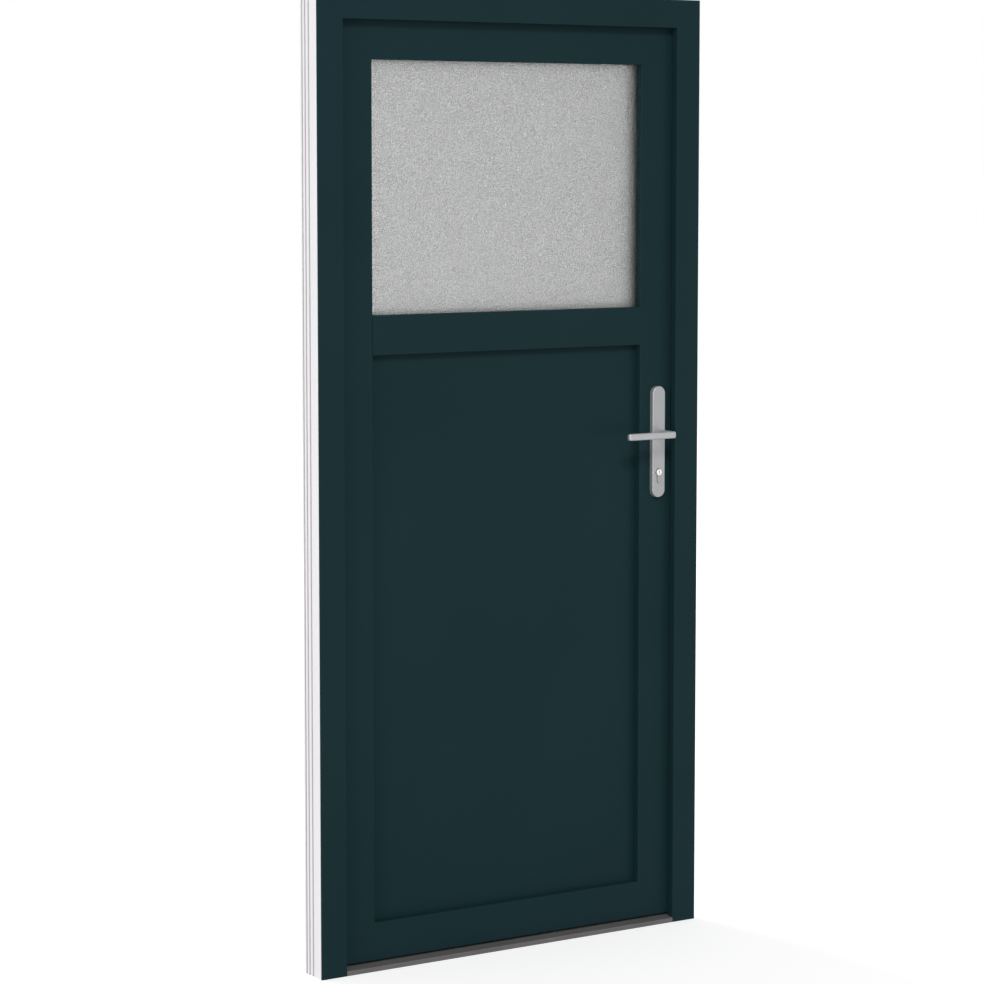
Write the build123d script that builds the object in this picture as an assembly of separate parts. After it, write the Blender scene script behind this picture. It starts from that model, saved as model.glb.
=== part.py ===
from build123d import *
import math
import os

os.makedirs("parts", exist_ok=True)

# Lengths are in millimetres. X runs along the wall, Y from outside to inside, Z up.
# A place in a section is s, inwards from the frame's outer side, and t, from its outside face to the room.

# Frame profile
frame_width = 980.0
frame_height = 2080.0
frame_depth = 70.0
frame_face = 62.0
frame_floor = 40.0
upstand_depth = 17.5
frame_wall = 3.0
frame_rib = 1.5
frame_edge_radius = 1.5
anchor_groove_width = 6.0
anchor_groove_depth = 5.0
anchor_groove_first = 36.0
anchor_groove_second = 51.0
anchor_groove_third = 63.5

# Leaf profile
seal_gap = 4.5
rebate_gap = 12.0
flange_overlap = 8.0
flange_gap = 4.0
sash_depth = 70.0
sash_visible = 82.0
sash_wall = 3.0
sash_rib = 2.0
sash_edge_radius = 2.0
lip_height = 20.0
lip_depth = 15.0
steel_chamber_width = 51.0
steel_chamber_depth = 40.0

# Threshold and the leaf's lower edge
threshold_height = 13.5
threshold_lip = 10.0
threshold_wall = 2.0
leaf_floor_gap = 4.0
bottom_rail_visible = 82.5
flange_floor_gap = 6.0

# Transom, glass and panel
transom_low = 1317.0
transom_visible = 84.5
glazing_gap = 3.0
infill_depth = 24.0
pane_thickness = 4.0
infill_edge_gap = 5.0
spacer_width = 8.0
spacer_setback = 5.0
gasket_width = 10.0
gasket_setback = 0.5
bead_gasket = 4.0
bead_bevel = 10.0
bead_wall = 1.8
block_length = 100.0
block_inset = 80.0

# Steel reinforcement
steel_wall = 2.0
steel_clearance = 0.5
steel_end_gap = 8.0

# Seals
seal_width = 6.0
seal_setback = 1.0
seal_clearance = 0.3
seal_round = 1.8
bottom_seal_width = 6.0
bottom_seal_setback = 8.0

# Hinges
hinge_flange_gap = 2.0
knuckle_leaf_gap = 1.0
hinge_end = 250.0
hinge_names = ("lower", "middle", "upper")
knuckle_radius = 9.0
leaf_knuckle_height = 40.0
frame_knuckle_height = 30.0
knuckle_gap = 0.5
hinge_pin_radius = 5.0
hinge_pin_clearance = 0.05
hinge_cap_height = 4.0
hinge_base_near = 4.0
hinge_base_height = 150.0
hinge_base_thickness = 4.0
hinge_web = 12.0
hinge_plate_gap = 2.0
hinge_plate_width = 26.0
hinge_plate_height = 100.0
hinge_plate_thickness = 5.0
hinge_screw_inset = 8.0
hinge_corner_radius = 4.0

# Screws
screw_radius = 2.4
screw_head_radius = 4.6
screw_head_height = 2.4
screw_length = 22.0
screw_clearance = 0.1
recess_length = 5.0
recess_width = 1.2
recess_depth = 1.6

# Lock: faceplate, cases and bolts
hardware_offset = 13.0
backset = 47.0
faceplate_width = 16.0
faceplate_thickness = 3.0
faceplate_low = 260.0
faceplate_top_gap = 200.0
rod_groove_width = 12.0
rod_groove_depth = 3.5
rod_width = 10.0
rod_thickness = 2.0
rod_clearance = 0.3
rod_overlap = 25.0
case_thickness = 15.0
case_wall = 1.5
case_depth = 62.0
case_above_spindle = 60.0
case_below_cylinder = 31.5
case_clearance = 0.5
box_depth = 46.0
box_height = 130.0
lower_box_mid = 430.0
upper_box_drop = 360.0
bolt_thickness = 11.0
bolt_length = 36.0
bolt_throw = 20.0
bolt_clearance = 0.5
deadbolt_height = 34.0
deadbolt_drop = 52.0
side_bolt_height = 24.0
latch_height = 30.0
latch_rise = 16.0
latch_throw = 11.0
latch_travel = 12.0
latch_body = 16.0
latch_tail_height = 12.0
latch_tail_thickness = 1.8
strike_thickness = 7.5
strike_margin = 26.0
strike_play = 1.0

# Handle set
spindle_height = 1118.5
cylinder_drop = 88.0
plate_width = 34.0
plate_thickness = 11.5
plate_wall = 2.5
plate_edge_radius = 2.2
upper_plate_screw_rise = 93.5
lower_plate_screw_gap = 20.0
plate_screw_inset = 12.0
plate_screw_radius = 2.5
plate_boss_radius = 5.0
spindle_side = 8.0
spindle_engagement = 30.0
spindle_clearance = 0.1
shank_radius = 6.8
shank_end_gap = 2.0
bearing_clearance = 0.4
bearing_wall = 2.0
neck_width = 19.4
lever_face_gap = 0.3
grip_standoff = 53.0
grip_reach = 122.0
grip_height = 15.0
grip_thickness = 13.0
grip_edge_radius = 4.0
grip_tip_radius = 5.0
elbow_outer_radius = 14.0
elbow_inner_radius = 8.0
follower_radius = 11.0
follower_thickness = 7.0
follower_lug_reach = 18.0
follower_lug_width = 6.0
passage_clearance = 1.5

# Profile cylinder
cylinder_radius = 8.5
cylinder_total = 33.0
cylinder_tail_width = 10.0
cylinder_proud = 1.5
plug_radius = 6.7
plug_clearance = 0.05
plug_proud = 0.6
keyway_width = 2.4
keyway_height = 9.0
keyway_depth = 25.0
cam_radius = 7.6
cam_reach = 15.3
cam_width = 10.0
cam_nose_width = 8.0
cam_clearance = 0.4

# How far a cutting shape runs past what it cuts
overrun = 5.0

# Planes that follow from the sizes above
half_width = frame_width / 2
sash_face = upstand_depth + seal_gap
sash_back = sash_face + sash_depth
leaf_edge = frame_floor + rebate_gap
flange_edge = frame_floor - flange_overlap
flange_face = frame_depth + flange_gap
lip_edge = frame_face + sash_visible
lip_back = sash_face + lip_depth
glazing_floor = lip_edge - lip_height
leaf_bottom = threshold_height + leaf_floor_gap
bottom_lip = leaf_bottom + bottom_rail_visible
bottom_datum = bottom_lip - lip_edge
transom_high = transom_low + transom_visible
transom_mid = (transom_low + transom_high) / 2
infill_face = lip_back + glazing_gap
infill_back = infill_face + infill_depth
lock_axis = flange_face - hardware_offset
groove_floor = leaf_edge + faceplate_thickness
spindle_side_place = leaf_edge + backset
spindle_x = half_width - spindle_side_place
cylinder_height = spindle_height - cylinder_drop
upper_plate_screw = spindle_height + upper_plate_screw_rise
lower_plate_screw = cylinder_height - cylinder_total + cylinder_radius - lower_plate_screw_gap
plate_mid = (upper_plate_screw + lower_plate_screw) / 2
plate_screw_step = (upper_plate_screw - lower_plate_screw) / 2
plate_length = 2 * (plate_screw_step + plate_screw_inset)
outer_plate_face = sash_face - plate_thickness
inner_plate_face = sash_back + plate_thickness
case_low = cylinder_height - case_below_cylinder
case_high = spindle_height + case_above_spindle
deadbolt_mid = spindle_height - deadbolt_drop
latch_mid = spindle_height + latch_rise
hinge_axis_side = flange_edge - hinge_flange_gap
hinge_axis_depth = sash_back + knuckle_radius + knuckle_leaf_gap
hinge_plate_near = hinge_axis_side + knuckle_radius + hinge_plate_gap
hinge_x = hinge_axis_side - half_width
hinge_heights = (hinge_end, frame_height / 2, frame_height - hinge_end)
box_heights = (lower_box_mid, frame_height - upper_box_drop)
faceplate_high = frame_height - faceplate_top_gap


def depth(t):
    """Y of a plane at depth t behind the frame's outside face."""
    return t - frame_depth / 2


def lock_x(s):
    """X of a plane at s from the lock jamb's outer side."""
    return half_width - s


def hinge_side_x(s):
    """X of a plane at s from the hinge jamb's outer side."""
    return s - half_width


def rect(s_range, t_range):
    """A rectangle in a section."""
    (s0, s1), (t0, t1) = s_range, t_range
    return Pos((s0 + s1) / 2, (t0 + t1) / 2) * Rectangle(s1 - s0, t1 - t0)


def block(x_range, y_range, z_range):
    """A box between pairs of coordinates, in any order."""
    pairs = [sorted(pair) for pair in (x_range, y_range, z_range)]
    middle = [(low + high) / 2 for low, high in pairs]
    return Pos(*middle) * Box(*[high - low for low, high in pairs])


def lock_block(s_range, t_range, z_range):
    """A box on the lock side, with its places given as in a section."""
    return block([lock_x(s) for s in s_range], [depth(t) for t in t_range], z_range)


def around(middle, width):
    """A range of the given width around its middle."""
    return (middle - width / 2, middle + width / 2)


def rounded(face, corners, radius):
    """The section with the named corners rounded."""
    picked = [face.vertices().sort_by_distance((s, t, 0))[0] for s, t in corners]
    return fillet(picked, radius)


def bar(section, corner, inward, run, length, mitres=(True, True)):
    """A profile that runs from a corner, cut at 45 degrees at its mitred ends."""
    solid = extrude(section, amount=length, dir=(0, 0, 1))
    if mitres[0]:
        solid = split(solid, Plane((0, 0, 0), z_dir=(-1, 0, 1)), keep=Keep.TOP)
    if mitres[1]:
        solid = split(solid, Plane((0, 0, length), z_dir=(1, 0, 1)), keep=Keep.BOTTOM)
    x, z = corner
    return Plane((x, depth(0), z), x_dir=inward, z_dir=run) * solid


def ring_bars(section, x_range, z_range):
    """Four mitred bars round an opening: left, right, top and bottom."""
    (x0, x1), (z0, z1) = x_range, z_range
    left = bar(section, (x0, z0), (1, 0, 0), (0, 0, 1), z1 - z0)
    right = bar(section, (x1, z1), (-1, 0, 0), (0, 0, -1), z1 - z0)
    top = bar(section, (x0, z1), (0, 0, -1), (1, 0, 0), x1 - x0)
    bottom = bar(section, (x1, z0), (0, 0, 1), (-1, 0, 0), x1 - x0)
    return [left, right, top, bottom]


def ring(x_range, z_range, width, t_range):
    """A rectangular ring of the given band width, lying in the plane of the wall."""
    (x0, x1), (z0, z1) = x_range, z_range
    t0, t1 = t_range
    outer = block(x_range, (depth(t0), depth(t1)), z_range)
    past = (depth(t0 - overrun), depth(t1 + overrun))
    return outer - block((x0 + width, x1 - width), past, (z0 + width, z1 - width))


def tube(s_range, t_range, wall):
    """A rectangular tube section."""
    (s0, s1), (t0, t1) = s_range, t_range
    return rect(s_range, t_range) - rect((s0 + wall, s1 - wall), (t0 + wall, t1 - wall))


def shrink(pair, margin):
    """A range that is smaller by a margin at each end."""
    return (pair[0] + margin, pair[1] - margin)


def save(node, *solids):
    """Write one node, with all its solids."""
    shape = solids[0] if len(solids) == 1 else Compound(children=list(solids))
    shape.label = node
    export_step(shape, f"parts/{node}.step")


def screw_form(length, clearance):
    """A countersunk screw below the plane of its head, larger all round by a clearance."""
    head = Cone(screw_radius + clearance, screw_head_radius + clearance, screw_head_height)
    shank = Cylinder(screw_radius + clearance, length + clearance)
    form = Pos(0, 0, -screw_head_height / 2) * head
    return form + Pos(0, 0, -(length + clearance) / 2) * shank


def cross_recess():
    """The cross that takes the screwdriver, cut from the plane of a screw's head."""
    slot = Box(recess_length, recess_width, 2 * recess_depth)
    return slot + Rot(0, 0, 90) * slot


def screw(place, outward, length):
    """A countersunk screw whose head lies in the plane at place."""
    return Plane(place, z_dir=outward) * (screw_form(length, 0) - cross_recess())


def screw_void(place, outward, length):
    """The void that a countersunk screw needs."""
    return Plane(place, z_dir=outward) * screw_form(length, screw_clearance)


# Frame profiles

frame_steel_s = (anchor_groove_depth + frame_wall, frame_floor - frame_wall)
bolt_chamber_t = (lock_axis - faceplate_width / 2 - frame_rib, frame_depth - frame_wall)
frame_steel_t = (upstand_depth, bolt_chamber_t[0] - frame_rib)


def frame_section():
    outline = Polygon(
        (0, 0),
        (frame_face, 0),
        (frame_face, upstand_depth),
        (frame_floor, upstand_depth),
        (frame_floor, frame_depth),
        (0, frame_depth),
        align=None,
    )
    shown = [(0, 0), (frame_face, 0), (frame_face, upstand_depth)]
    section = rounded(outline, shown, frame_edge_radius)
    for place in (anchor_groove_first, anchor_groove_second, anchor_groove_third):
        section -= rect((-overrun, anchor_groove_depth), around(place, anchor_groove_width))
    front_t = (frame_wall, upstand_depth - frame_wall)
    rib_s = frame_floor - frame_wall
    section -= rect((frame_wall, rib_s), front_t)
    section -= rect((rib_s + frame_rib, frame_face - frame_wall), front_t)
    section -= rect(frame_steel_s, frame_steel_t)
    section -= rect(frame_steel_s, bolt_chamber_t)
    return section


frame_profile = frame_section()
left_corner = (-half_width, frame_height)
right_corner = (half_width, frame_height)
hinge_jamb = bar(frame_profile, (-half_width, 0), (1, 0, 0), (0, 0, 1), frame_height, (False, True))
lock_jamb = bar(frame_profile, right_corner, (-1, 0, 0), (0, 0, -1), frame_height, (True, False))
frame_head = bar(frame_profile, left_corner, (0, 0, -1), (1, 0, 0), frame_width)

frame_tube = tube(shrink(frame_steel_s, steel_clearance), shrink(frame_steel_t, steel_clearance), steel_wall)
jamb_steel_length = frame_height - frame_floor - 2 * steel_end_gap
hinge_jamb_steel = bar(
    frame_tube, (-half_width, steel_end_gap), (1, 0, 0), (0, 0, 1), jamb_steel_length, (False, False)
)
lock_jamb_steel = bar(
    frame_tube,
    (half_width, frame_height - frame_floor - steel_end_gap),
    (-1, 0, 0),
    (0, 0, -1),
    jamb_steel_length,
    (False, False),
)
head_steel = bar(
    frame_tube,
    (hinge_side_x(frame_floor + steel_end_gap), frame_height),
    (0, 0, -1),
    (1, 0, 0),
    frame_width - 2 * (frame_floor + steel_end_gap),
    (False, False),
)


# Leaf profiles

sash_steel_s = (glazing_floor - sash_wall - steel_chamber_width, glazing_floor - sash_wall)
sash_steel_t = (lip_back - sash_wall + sash_rib, lip_back - sash_wall + sash_rib + steel_chamber_depth)
sash_front_t = (sash_face + sash_wall, lip_back - sash_wall)
sash_back_t = (sash_steel_t[1] + sash_rib, sash_back - sash_wall)


def row_of_chambers(s_range, count, t_range):
    """Equal chambers side by side, with ribs between them."""
    s0, s1 = s_range
    pitch = (s1 - s0 + sash_rib) / count
    chambers = Sketch()
    for index in range(count):
        start = s0 + index * pitch
        chambers += rect((start, start + pitch - sash_rib), t_range)
    return chambers


def sash_section(edge, flange, hardware):
    """A leaf profile with its outer edge and flange edge at the given places."""
    outline = Polygon(
        (edge, sash_face),
        (lip_edge, sash_face),
        (lip_edge, lip_back),
        (glazing_floor, lip_back),
        (glazing_floor, sash_back),
        (flange, sash_back),
        (flange, flange_face),
        (edge, flange_face),
        align=None,
    )
    shown = [(edge, sash_face), (lip_edge, sash_face), (flange, sash_back)]
    section = rounded(outline, shown, sash_edge_radius)
    section -= row_of_chambers((edge + sash_wall, lip_edge - sash_wall), 3, sash_front_t)
    section -= row_of_chambers((flange + sash_wall, glazing_floor - sash_wall), 3, sash_back_t)
    section -= rect(sash_steel_s, sash_steel_t)
    if hardware:
        section -= rect((edge - overrun, groove_floor), around(lock_axis, faceplate_width))
        section -= rect((edge, groove_floor + rod_groove_depth), around(lock_axis, rod_groove_width))
        edge_chamber_t = (sash_steel_t[0], lock_axis - faceplate_width / 2 - sash_wall)
        section -= rect((edge + sash_wall, sash_steel_s[0] - sash_rib), edge_chamber_t)
    return section


sash_profile = sash_section(leaf_edge, flange_edge, True)
bottom_profile = sash_section(leaf_bottom - bottom_datum, flange_floor_gap - bottom_datum, False)
stile_length = frame_height - bottom_datum
hinge_stile = bar(sash_profile, (-half_width, bottom_datum), (1, 0, 0), (0, 0, 1), stile_length)
lock_stile = bar(sash_profile, right_corner, (-1, 0, 0), (0, 0, -1), stile_length)
top_rail = bar(sash_profile, left_corner, (0, 0, -1), (1, 0, 0), frame_width)
bottom_rail = bar(bottom_profile, (half_width, bottom_datum), (0, 0, 1), (-1, 0, 0), frame_width)

# The stiles end level with the bottom rail, above the threshold and above the floor
across = (-half_width - overrun, half_width + overrun)
below = bottom_datum - overrun
under_body = block(across, (depth(sash_face - overrun), depth(flange_face)), (below, leaf_bottom))
under_flange = block(across, (depth(flange_face), depth(sash_back + overrun)), (below, flange_floor_gap))
hinge_stile -= under_body + under_flange
lock_stile -= under_body + under_flange

sash_tube = tube(shrink(sash_steel_s, steel_clearance), shrink(sash_steel_t, steel_clearance), steel_wall)
stile_steel_low = bottom_datum + glazing_floor + steel_end_gap
stile_steel_high = frame_height - glazing_floor - steel_end_gap
stile_steel_length = stile_steel_high - stile_steel_low
rail_steel_length = frame_width - 2 * (glazing_floor + steel_end_gap)
rail_steel_x = half_width - glazing_floor - steel_end_gap
square_ends = (False, False)
hinge_stile_steel = bar(
    sash_tube, (-half_width, stile_steel_low), (1, 0, 0), (0, 0, 1), stile_steel_length, square_ends
)
lock_stile_steel = bar(
    sash_tube, (half_width, stile_steel_high), (-1, 0, 0), (0, 0, -1), stile_steel_length, square_ends
)
top_rail_steel = bar(
    sash_tube, (-rail_steel_x, frame_height), (0, 0, -1), (1, 0, 0), rail_steel_length, square_ends
)
bottom_rail_steel = bar(
    sash_tube, (rail_steel_x, bottom_datum), (0, 0, 1), (-1, 0, 0), rail_steel_length, square_ends
)


# Transom, butted between the stiles

transom_half = transom_visible / 2
transom_body = transom_half - lip_height
transom_steel_s = (-transom_body + sash_wall, transom_body - sash_wall)
transom_steel_t = (lip_back + sash_rib, sash_steel_t[1])


def transom_section():
    lips = rect((-transom_half, transom_half), (sash_face, lip_back))
    section = lips + rect((-transom_body, transom_body), (sash_face, sash_back))
    section = rounded(section, [(-transom_half, sash_face), (transom_half, sash_face)], sash_edge_radius)
    section -= row_of_chambers((-transom_half + sash_wall, transom_half - sash_wall), 2, sash_front_t)
    section -= rect(transom_steel_s, transom_steel_t)
    section -= rect(transom_steel_s, sash_back_t)
    return section


transom_end = half_width - glazing_floor
transom_run = 2 * transom_end
transom = bar(
    transom_section(), (transom_end, transom_mid), (0, 0, 1), (-1, 0, 0), transom_run, square_ends
)
lip_zone_t = (depth(sash_face - overrun), depth(lip_back))
lip_zone_z = (transom_low - overrun, transom_high + overrun)
for lip_x in (half_width - lip_edge, lip_edge - half_width):
    outer_x = math.copysign(half_width, lip_x)
    transom -= block((lip_x, outer_x), lip_zone_t, lip_zone_z)
transom_tube = tube(
    shrink(transom_steel_s, steel_clearance), shrink(transom_steel_t, steel_clearance), steel_wall
)
transom_steel = bar(
    transom_tube,
    (transom_end - steel_end_gap, transom_mid),
    (0, 0, 1),
    (-1, 0, 0),
    transom_run - 2 * steel_end_gap,
    square_ends,
)


# Glass unit, panel, gaskets, beads and setting blocks

field_x = (-transom_end, transom_end)
glass_z = (transom_mid + transom_body, frame_height - glazing_floor)
panel_z = (bottom_datum + glazing_floor, transom_mid - transom_body)
infill_x = shrink(field_x, infill_edge_gap)
glass_edge_z = shrink(glass_z, infill_edge_gap)
panel_edge_z = shrink(panel_z, infill_edge_gap)
outer_pane_t = (infill_face, infill_face + pane_thickness)
inner_pane_t = (infill_back - pane_thickness, infill_back)

outer_pane = block(infill_x, [depth(t) for t in outer_pane_t], glass_edge_z)
inner_pane = block(infill_x, [depth(t) for t in inner_pane_t], glass_edge_z)
infill_panel = block(infill_x, (depth(infill_face), depth(infill_back)), panel_edge_z)
glass_spacer = ring(
    shrink(infill_x, spacer_setback),
    shrink(glass_edge_z, spacer_setback),
    spacer_width,
    (outer_pane_t[1], inner_pane_t[0]),
)


def glazing_gasket(field_z):
    """The outside gasket between the lip and the glass or panel."""
    inset = lip_height - gasket_setback - gasket_width
    return ring(shrink(field_x, inset), shrink(field_z, inset), gasket_width, (lip_back, infill_face))


def bead_section():
    """A hollow glazing bead with its gasket foot against the glass and a bevel to the room."""
    base = infill_back + bead_gasket
    section = Polygon(
        (0, base),
        (lip_height - bead_gasket, base),
        (lip_height - bead_gasket, infill_back),
        (lip_height, infill_back),
        (lip_height, sash_back - bead_bevel),
        (lip_height - bead_bevel, sash_back),
        (0, sash_back),
        align=None,
    )
    hollow_s = (bead_wall, lip_height - bead_bevel)
    hollow_t = (base + bead_wall, sash_back - bead_wall)
    return section - rect(hollow_s, hollow_t)


def setting_blocks(field_z):
    """Two blocks that carry an infill on the rebate below it."""
    low, high = field_z[0], field_z[0] + infill_edge_gap
    pieces = []
    for hand in (-1, 1):
        middle = hand * (transom_end - block_inset - block_length / 2)
        span = around(middle, block_length)
        pieces.append(block(span, (depth(infill_face), depth(infill_back)), (low, high)))
    return pieces


bead_profile = bead_section()
glass_gasket = glazing_gasket(glass_z)
panel_gasket = glazing_gasket(panel_z)
glass_beads = ring_bars(bead_profile, field_x, glass_z)
panel_beads = ring_bars(bead_profile, field_x, panel_z)


# Threshold with notched ends that fit round the upstands

def threshold_section():
    outline = Polygon(
        (0, 0),
        (frame_depth, 0),
        (frame_depth, threshold_height),
        (sash_face, threshold_height),
        (0, threshold_lip),
        align=None,
    )
    section = rounded(outline, [(0, threshold_lip)], threshold_wall)
    hollow = (threshold_wall, threshold_lip - threshold_wall)
    section -= rect((threshold_wall, sash_face - threshold_wall), hollow)
    inner_hollow = (threshold_wall, threshold_height - threshold_wall)
    middle = (sash_face + frame_depth) / 2
    section -= rect((sash_face, middle - threshold_wall / 2), inner_hollow)
    section -= rect((middle + threshold_wall / 2, frame_depth - threshold_wall), inner_hollow)
    return section


threshold_end = half_width - frame_floor
threshold = extrude(threshold_section(), amount=2 * threshold_end, dir=(0, 0, 1))
threshold = Plane((-threshold_end, depth(0), 0), x_dir=(0, 1, 0), z_dir=(1, 0, 0)) * threshold
for upstand_x in (half_width - frame_face, frame_face - half_width):
    notch_x = (upstand_x, math.copysign(half_width, upstand_x))
    notch_t = (depth(-overrun), depth(upstand_depth))
    threshold -= block(notch_x, notch_t, (-overrun, threshold_height + overrun))


# Seals

frame_seal_s = (frame_face - seal_setback - seal_width, frame_face - seal_setback)
frame_seal_t = (upstand_depth, sash_face - seal_clearance)
frame_seal_section = rect(frame_seal_s, frame_seal_t)
frame_seal_section = rounded(frame_seal_section, [(s, frame_seal_t[1]) for s in frame_seal_s], seal_round)
seal_drop = frame_height - threshold_height
frame_seal = bar(
    frame_seal_section, (-half_width, threshold_height), (1, 0, 0), (0, 0, 1), seal_drop, (False, True)
)
frame_seal += bar(frame_seal_section, left_corner, (0, 0, -1), (1, 0, 0), frame_width)
frame_seal += bar(frame_seal_section, right_corner, (-1, 0, 0), (0, 0, -1), seal_drop, (True, False))

leaf_seal_x = half_width - flange_edge - seal_setback
leaf_seal_z = (flange_floor_gap + seal_setback, frame_height - flange_edge - seal_setback)
leaf_seal_t = (frame_depth + seal_clearance, flange_face)
leaf_seal = ring((-leaf_seal_x, leaf_seal_x), leaf_seal_z, seal_width, leaf_seal_t)
leaf_seal = fillet(leaf_seal.edges().group_by(Axis.Y)[0], seal_round)

bottom_seal_t = around((sash_face + flange_face) / 2, bottom_seal_width)
bottom_seal_x = half_width - leaf_edge - bottom_seal_setback
bottom_seal = block(
    (-bottom_seal_x, bottom_seal_x),
    [depth(t) for t in bottom_seal_t],
    (threshold_height + seal_clearance, leaf_bottom),
)
bottom_seal = fillet(bottom_seal.edges().filter_by(Axis.X).group_by(Axis.Z)[0], seal_round)


# Hinges: the frame half has the outer knuckles, the leaf half the middle one, clear of the leaf's flange

def knuckle(height, middle):
    return Pos(hinge_x, depth(hinge_axis_depth), middle) * Cylinder(knuckle_radius, height)


def hinge_bore(middle):
    bore_length = leaf_knuckle_height + 2 * (frame_knuckle_height + knuckle_gap + overrun)
    bore = Cylinder(hinge_pin_radius + hinge_pin_clearance, bore_length)
    return Pos(hinge_x, depth(hinge_axis_depth), middle) * bore


def plate_with_round_corners(x_range, y_range, z_range):
    """A flat plate in the plane of the wall, with rounded corners."""
    plate = block(x_range, y_range, z_range)
    return fillet(plate.edges().filter_by(Axis.Y), hinge_corner_radius)


knuckle_step = leaf_knuckle_height / 2 + knuckle_gap + frame_knuckle_height / 2
hinge_screw_step = hinge_base_height / 2 - hinge_screw_inset
frame_screw_t = depth(frame_depth + hinge_base_thickness)
frame_screw_s = (hinge_base_near + hinge_axis_side) / 2
leaf_screw_t = depth(sash_back + hinge_plate_thickness)
leaf_screw_s = hinge_plate_near + hinge_plate_width / 2
leaf_screw_step = hinge_plate_height / 2 - hinge_screw_inset


def frame_hinge_screw_places(middle):
    place_x = hinge_side_x(frame_screw_s)
    return [(place_x, frame_screw_t, middle + hand * hinge_screw_step) for hand in (-1, 1)]


def leaf_hinge_screw_places(middle):
    place_x = hinge_side_x(leaf_screw_s)
    return [(place_x, leaf_screw_t, middle + step * leaf_screw_step) for step in (-1, 0, 1)]


def hinge_frame_half(middle):
    base_x = (hinge_side_x(hinge_base_near), hinge_x)
    base_t = (depth(frame_depth), frame_screw_t)
    half = plate_with_round_corners(base_x, base_t, around(middle, hinge_base_height))
    for hand in (-1, 1):
        place = middle + hand * knuckle_step
        web_t = (frame_screw_t, depth(hinge_axis_depth))
        half += block((hinge_x - hinge_web, hinge_x), web_t, around(place, frame_knuckle_height))
        half += knuckle(frame_knuckle_height, place)
    half -= hinge_bore(middle)
    for place in frame_hinge_screw_places(middle):
        half -= screw_void(place, (0, 1, 0), screw_length)
    return half


def hinge_leaf_half(middle):
    plate_s = (hinge_plate_near, hinge_plate_near + hinge_plate_width)
    plate_t = (depth(sash_back), leaf_screw_t)
    plate_x = [hinge_side_x(s) for s in plate_s]
    half = plate_with_round_corners(plate_x, plate_t, around(middle, hinge_plate_height))
    arm_x = (hinge_x, plate_x[0] + hinge_corner_radius)
    half += block(arm_x, plate_t, around(middle, leaf_knuckle_height))
    half += knuckle(leaf_knuckle_height, middle)
    half -= hinge_bore(middle)
    for place in leaf_hinge_screw_places(middle):
        half -= screw_void(place, (0, 1, 0), screw_length)
    return half


def hinge_pin(middle):
    reach = knuckle_step + frame_knuckle_height / 2
    pin = Cylinder(hinge_pin_radius, 2 * reach)
    for hand in (-1, 1):
        pin += Pos(0, 0, hand * (reach + hinge_cap_height / 2)) * Cylinder(knuckle_radius, hinge_cap_height)
    return Pos(hinge_x, depth(hinge_axis_depth), middle) * pin


hinge_frame_halves = [hinge_frame_half(middle) for middle in hinge_heights]
hinge_leaf_halves = [hinge_leaf_half(middle) for middle in hinge_heights]
hinge_pins = [hinge_pin(middle) for middle in hinge_heights]


# Lock: faceplate, main case, lock boxes, drive rods and bolts

plate_t = around(lock_axis, faceplate_width)
case_t = around(lock_axis, case_thickness)
case_s = (groove_floor, groove_floor + case_depth)
box_s = (groove_floor, groove_floor + box_depth)
rod_t = around(lock_axis, rod_width)
rod_s = (groove_floor + rod_clearance, groove_floor + rod_clearance + rod_thickness)
bolt_t = around(lock_axis, bolt_thickness)
bolt_s = (leaf_edge + rod_clearance, leaf_edge + bolt_length)
side_bolts = [around(height, side_bolt_height) for height in box_heights]
deadbolt_z = around(deadbolt_mid, deadbolt_height)
latch_z = around(latch_mid, latch_height)
case_z = (case_low, case_high)
box_z = [around(height, box_height) for height in box_heights]


def grow(pair, margin):
    return shrink(pair, -margin)


def lock_shell(s_range, z_range):
    """A thin case behind the faceplate, open to it, with a notch at each end for a drive rod."""
    inner_s = (s_range[0] - overrun, s_range[1] - case_wall)
    shell = lock_block(s_range, case_t, z_range)
    shell -= lock_block(inner_s, shrink(case_t, case_wall), shrink(z_range, case_wall))
    notch_s = (s_range[0] - overrun, rod_s[1] + rod_clearance)
    return shell - lock_block(notch_s, grow(rod_t, rod_clearance), grow(z_range, overrun))


def euro_outline(clearance):
    """A profile cylinder's outline about the axis of its plug, with the tail pointing down."""
    tail_radius = cylinder_tail_width / 2 + clearance
    tail_end = cylinder_total - cylinder_radius - cylinder_tail_width / 2
    outline = Circle(cylinder_radius + clearance)
    outline += Pos(0, -tail_end / 2) * Rectangle(2 * tail_radius, tail_end)
    return outline + Pos(0, -tail_end) * Circle(tail_radius)


def across_leaf(outline, height, t_range):
    """An outline on the handle's line that runs through the leaf between two depths."""
    start = Plane((spindle_x, depth(t_range[1]), height), x_dir=(1, 0, 0), z_dir=(0, -1, 0))
    return start * extrude(outline, amount=t_range[1] - t_range[0], dir=(0, 0, 1))


through_t = (sash_face - overrun, sash_back + overrun)
spindle_passage = across_leaf(Circle(follower_radius), spindle_height, through_t)
cylinder_passage = across_leaf(euro_outline(passage_clearance), cylinder_height, through_t)
plate_screw_heights = [lower_plate_screw, upper_plate_screw]
plate_screw_passages = [
    across_leaf(Circle(plate_screw_radius + passage_clearance), height, through_t)
    for height in plate_screw_heights
]

lock_case = lock_shell(case_s, case_z) - spindle_passage - cylinder_passage
lower_lock_box, upper_lock_box = [lock_shell(box_s, span) for span in box_z]

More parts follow.
